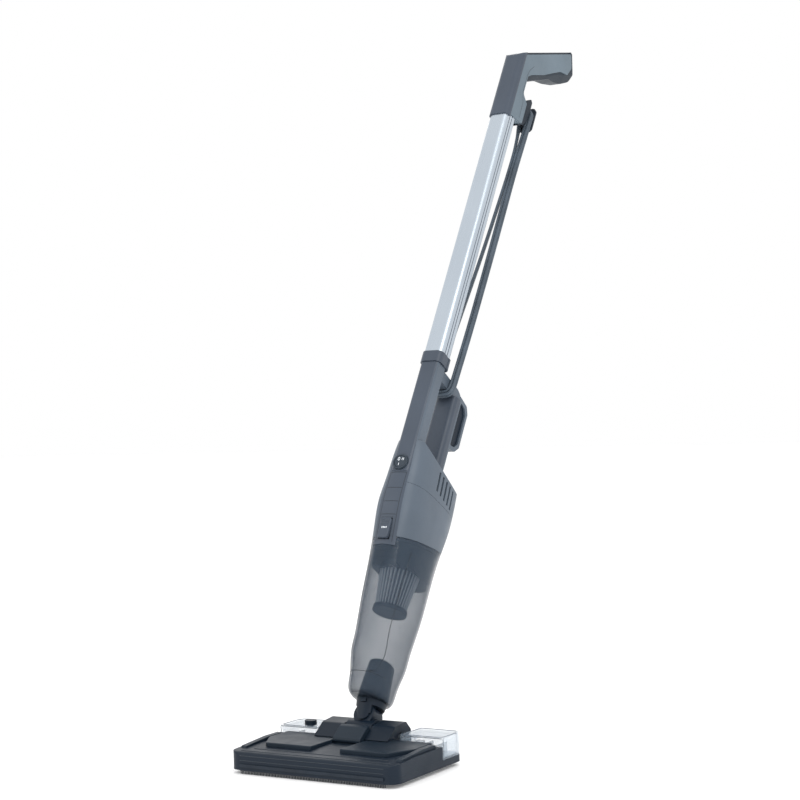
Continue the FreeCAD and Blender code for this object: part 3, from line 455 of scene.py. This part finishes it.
# ------------------------------------------------------------------ bristles and mop
def bristles():
    """Three rows of tufts, each tuft a few tapering hairs that lean apart."""
    low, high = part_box("bristle_strip")
    verts, faces = [], []
    count = 92
    for row in range(3):
        for number in range(count):
            x = low.x + 0.001 + (high.x - low.x - 0.002) * (number + 0.5 * (row % 2)) / (count - 0.5)
            y = low.y + (high.y - low.y) * (row + 0.5) / 3
            for hair in range(5):
                turn = hair * 2.4 + number * 1.7 + row
                reach = 0.0003 + 0.0001 * ((number * 7 + hair) % 4)
                lean = Vector((math.cos(turn), math.sin(turn), 0)) * reach
                root = Vector((x, y, high.z)) + lean * 0.3
                tip = Vector((x, y, low.z + 0.0001 * ((number + hair) % 5))) + lean
                start = len(verts)
                for place, wide in ((root, 0.00022), (tip, 0.00012)):
                    verts += [place + Vector((math.cos(a) * wide, math.sin(a) * wide, 0))
                              for a in (0, 2.1, 4.2)]
                faces += [(start + i, start + (i + 1) % 3, start + 3 + (i + 1) % 3, start + 3 + i)
                          for i in range(3)]
                faces.append((start + 3, start + 4, start + 5))
    bar = [Vector((x, y, z)) for z in (high.z - 0.0009, high.z) for x, y in
           ((low.x, low.y), (high.x, low.y), (high.x, high.y), (low.x, high.y))]
    start = len(verts)
    verts += bar
    faces += [tuple(start + i for i in f) for f in
              ((0, 3, 2, 1), (4, 5, 6, 7), (0, 1, 5, 4), (1, 2, 6, 5), (2, 3, 7, 6), (3, 0, 4, 7))]
    obj = mesh_piece("bristle_tufts", verts, faces, "bristle", "floor_head", smooth=False)
    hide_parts("bristle_strip")


def mop():
    """The mop cloth: a thin pad with a wavy looped edge that peeps out under the head."""
    low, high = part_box("mop_pad")
    centre, half = (low + high) / 2, (high - low) / 2
    verts, faces = [], []
    around, rings = 240, 9
    for ring in range(rings):
        share = ring / (rings - 1)
        swell = math.sin(math.pi * share)
        for step in range(around):
            turn = 2 * math.pi * step / around
            x, y = math.cos(turn), math.sin(turn)
            corner = (abs(x) ** 7 + abs(y) ** 7) ** (-1 / 7)
            wave = 0.0007 * math.sin(37 * turn) + 0.0004 * math.sin(61 * turn + 1)
            grow = 1 - 0.0016 / half.y + swell * (0.0014 + wave) / half.y
            z = low.z + 0.0002 + share * (high.z - low.z - 0.0004)
            sag = 0.0003 * math.sin(23 * turn) * (1 - share)
            verts.append((centre.x + corner * x * (half.x - 0.002) * (1 + (grow - 1) * half.y / half.x),
                          centre.y + corner * y * half.y * grow, max(low.z, z + sag)))
    for ring in range(rings - 1):
        for step in range(around):
            a, b = ring * around + step, ring * around + (step + 1) % around
            faces.append((a, b, b + around, a + around))
    faces += [tuple(range(around - 1, -1, -1)), tuple(range((rings - 1) * around, rings * around))]
    obj = mesh_piece("mop_cloth", verts, faces, "mop", "floor_head")
    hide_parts("mop_pad")


bristles()
mop()


# ------------------------------------------------------------------ marks, seams and moulding lines
SIDES = ((-1, "left"), (1, "right"))
PRINT, SEAM, RAISED = 0.00012, 0.00008, 0.0003  # the height of a printed mark, a seam line and a rim


def stroke(name, points, width, lift, look, body, normal, closed=False):
    """A flat raised mark along points that already lie on their surface."""
    verts, faces, count = [], [], len(points)
    for i, point in enumerate(points):
        before = points[i - 1] if closed or i else point
        after = points[(i + 1) % count] if closed or i < count - 1 else point
        side = (after - before).cross(normal).normalized() * width / 2
        base, top = point - normal * 0.0002, point + normal * lift
        verts += [base - side, top - side * 0.85, top + side * 0.85, base + side]
    for i in range(count if closed else count - 1):
        a, b = 4 * i, 4 * ((i + 1) % count)
        faces += [(a + j, a + j + 1, b + j + 1, b + j) for j in range(3)] + [(a + 3, a, b, b + 3)]
    if not closed:
        faces += [(0, 3, 2, 1), tuple(4 * (count - 1) + j for j in range(4))]
    return mesh_piece(name, verts, faces, look, body)


def switch_marks():
    """The marks 0, I and II on the round switch."""
    flat = -84.8
    ring = [pole(-2.8 + 1.4 * math.cos(a), flat, 358 + 2.2 * math.sin(a))
            for a in (2 * math.pi * i / 20 for i in range(20))]
    stroke("switch_mark_0", ring, 0.0009, PRINT, "white", "power_switch", -BACK, True)
    bars = {"switch_mark_2a": (2.4, 359.8, 356), "switch_mark_2b": (4.4, 359.8, 356),
            "switch_mark_1": (-1.4, 352.2, 348.2)}
    for name, (x, top, bottom) in bars.items():
        stroke(name, [pole(x, flat, top), pole(x, flat, bottom)], 0.001, PRINT, "white", "power_switch",
               -BACK)


def release_marks():
    """Ribs and a small plain mark on the release button."""
    tree = tree_of("release_button")
    for number, up in enumerate((268.6, 266.2, 263.8, 261.4)):
        across = [pole(-5.6, -70, up), pole(5.6, -70, up)]
        ribbon(f"release_rib_{number + 1}", tree, across, BACK, 0.0009, 0.00035, "rim", "release_button",
               "panel_plastic")
    for number, x in enumerate((-3.3, -1.1, 1.1, 3.3)):
        upright = [pole(x, -70, 258.6), pole(x, -70, 256.2)]
        ribbon(f"release_mark_{number + 1}", tree, upright, BACK, 0.0017, PRINT, "white", "release_button",
               "panel_plastic")


def panel_lines():
    """The step lines across the front panel and its long border lines."""
    tree = tree_of("front_panel")
    for number, up in enumerate((339.5, 316.0, 296.0, 277.5)):
        across = [pole(-11.5, -70, up), pole(11.5, -70, up)]
        ribbon(f"panel_line_{number + 1}", tree, across, BACK, 0.0011, SEAM, "line", "hand_vacuum",
               "panel_plastic")
    for side, name in SIDES:
        edge = [pole(side * 12.2, -70, 339.5), pole(side * 12.6, -70, 300), pole(side * 12.6, -70, 240)]
        ribbon(f"panel_border_{name}", tree, edge, BACK, 0.0009, SEAM, "line", "hand_vacuum",
               "panel_plastic")
    surround = [pole(x, -70, up) for x, up in
                ((-9.9, 241.2), (-9.9, 272.5), (-8.6, 274.3), (8.6, 274.3), (9.9, 272.5), (9.9, 241.2))]
    ribbon("release_surround", tree, surround, BACK, 0.0008, RAISED, "rim", "hand_vacuum", "panel_plastic")


def bin_lines():
    """The bin's moulding line down each side of its front, and the line that joins them at its foot."""
    tree, fine = tree_of("bin_shell"), (0.0008, 0.00025)
    for side, name in SIDES:
        sideways = Vector((-side, 0, 0))
        route = [pole(side * 45, v, up) for v, up in
                 ((-48, 236), (-46, 180), (-43, 130), (-38, 92), (-38, 78), (-41, 70), (-46, 67))]
        ribbon(f"bin_seam_{name}", tree, route, sideways, *fine, "line", "bin", "smoked_clear")
    foot = [pole(-26, -85, 67), pole(26, -85, 67)]
    ribbon("bin_seam_front", tree, foot, BACK, *fine, "line", "bin", "smoked_clear")


def body_seam():
    """The thin seams on the handle's sides, along its front shell's edge."""
    tree = tree_of("handle_rear_shell")
    for side, name in SIDES:
        sideways = Vector((-side, 0, 0))
        route = [pole(side * 20, v, up) for v, up in
                 ((-49.5, 966), (-50.5, 994), (-57.6, 1010), (-57.8, 1040), (-54.5, 1054), (-46, 1068))]
        ribbon(f"handle_seam_{name}", tree, route, sideways, 0.0007, 0.0001, "line", "hand_vacuum",
               "light_plastic")


def head_lines():
    """Ledge lines along the floor head's front and over its cover."""
    tree = tree_of("head_cover", "head_base")
    aim = Vector((0, 1, 0))
    for number, z in enumerate((0.0235, 0.0175)):
        across = [Vector((-0.108, -0.1, z)), Vector((0.108, -0.1, z))]
        ribbon(f"head_ledge_{number + 1}", tree, across, aim, 0.0009, 0.0004, "ledge", "floor_head",
               "dark_plastic")
    down = Vector((0, 0, -1))
    for number, (y, reach) in enumerate(((-0.0735, 0.112), (-0.0605, 0.1))):
        across = [Vector((-reach, y, 0.06)), Vector((reach, y, 0.06))]
        ribbon(f"cover_line_{number + 1}", tree, across, down, 0.0012, 0.0006, "ledge", "floor_head",
               "dark_plastic")


def tube_grooves():
    """Painted shade in the two grooves down each side of the wand: dark strips laid in their hollows."""
    tree = tree_of("wand_tube")
    for side, name in SIDES:
        for number, v in enumerate((-71.7, -65.7)):
            route = [pole(side * 20, v, 533), pole(side * 20, v, 951)]
            ribbon(f"tube_groove_shade_{name}_{number + 1}", tree, route, Vector((-side, 0, 0)), 0.002,
                   0.0005, "groove", "hand_vacuum", "aluminium_tube", step=0.02)


def tank_edges():
    """The heavier moulded edges that show round the clear tank."""
    tree, down, fine = tree_of("water_tank"), Vector((0, 0, -1)), (0.0009, 0.0002)
    for side, name in SIDES:
        inward, aft = Vector((-side, 0, 0)), Vector((0, 1, 0))
        top = [Vector((side * x, y, 0.06)) for x, y in
               ((0.0655, 0.0325), (0.117, 0.0325), (0.1236, 0.036), (0.1236, 0.066), (0.118, 0.077),
                (0.0655, 0.078))]
        ribbon(f"tank_edge_top_{name}", tree, top, down, 0.0009, RAISED, "rim", "tank", "clear_tank",
               closed=True)
        low = [Vector((side * 0.14, y, 0.0158)) for y in (0.0325, 0.066)]
        ribbon(f"tank_edge_low_{name}", tree, low, inward, *fine, "rim", "tank", "clear_tank")
        corner = [Vector((side * 0.14, 0.0322, z)) for z in (0.0158, 0.0405)]
        ribbon(f"tank_edge_side_{name}", tree, corner, inward, *fine, "rim", "tank", "clear_tank")
        front = [Vector((side * x, 0.02, 0.0405)) for x in (0.0655, 0.1235)]
        ribbon(f"tank_edge_front_{name}", tree, front, aft, *fine, "rim", "tank", "clear_tank")


tube_grooves()
tank_edges()
switch_marks()
release_marks()
panel_lines()
bin_lines()
body_seam()
head_lines()


# ------------------------------------------------------------------ stage and light
def stage():
    data = bpy.data.meshes.new("floor")
    grid = bmesh.new()
    bmesh.ops.create_grid(grid, x_segments=1, y_segments=1, size=12)
    grid.to_mesh(data)
    grid.free()
    floor = bpy.data.objects.new("floor", data)
    floor.location.z = -0.0004
    s = Shader("floor_pale", Base_Color=(0.9, 0.9, 0.9, 1), Roughness=0.8, Specular_IOR_Level=0.1,
               Emission_Color=(1, 1, 1, 1), Emission_Strength=0.12)
    s.link(s.mix(s.noise(3, 2), (0.93, 0.93, 0.93, 1), (0.95, 0.95, 0.95, 1)), "Base Color")
    data.materials.append(s.material)
    scene.collection.objects.link(floor)
    world = bpy.data.worlds.new("studio")
    world.use_nodes = True
    world.node_tree.nodes["Background"].inputs[0].default_value = (1, 1, 1, 1)
    world.node_tree.nodes["Background"].inputs[1].default_value = 1.0
    scene.world = world
    for name, place, size, power in (
        ("key", (1.9, -1.2, 2.3), 1.6, 34),
        ("fill", (-1.8, -1.9, 1.4), 2.2, 14),
        ("back", (-0.8, 2.2, 2.0), 1.6, 20),
    ):
        light = bpy.data.lights.new(name, "AREA")
        light.size, light.energy = size, power
        obj = bpy.data.objects.new(name, light)
        obj.location = place
        obj.rotation_mode = "QUATERNION"
        obj.rotation_quaternion = (Vector((0, 0.25, 0.5)) - Vector(place)).to_track_quat("-Z", "Y")
        scene.collection.objects.link(obj)
    scene.view_settings.view_transform = "Standard"


stage()
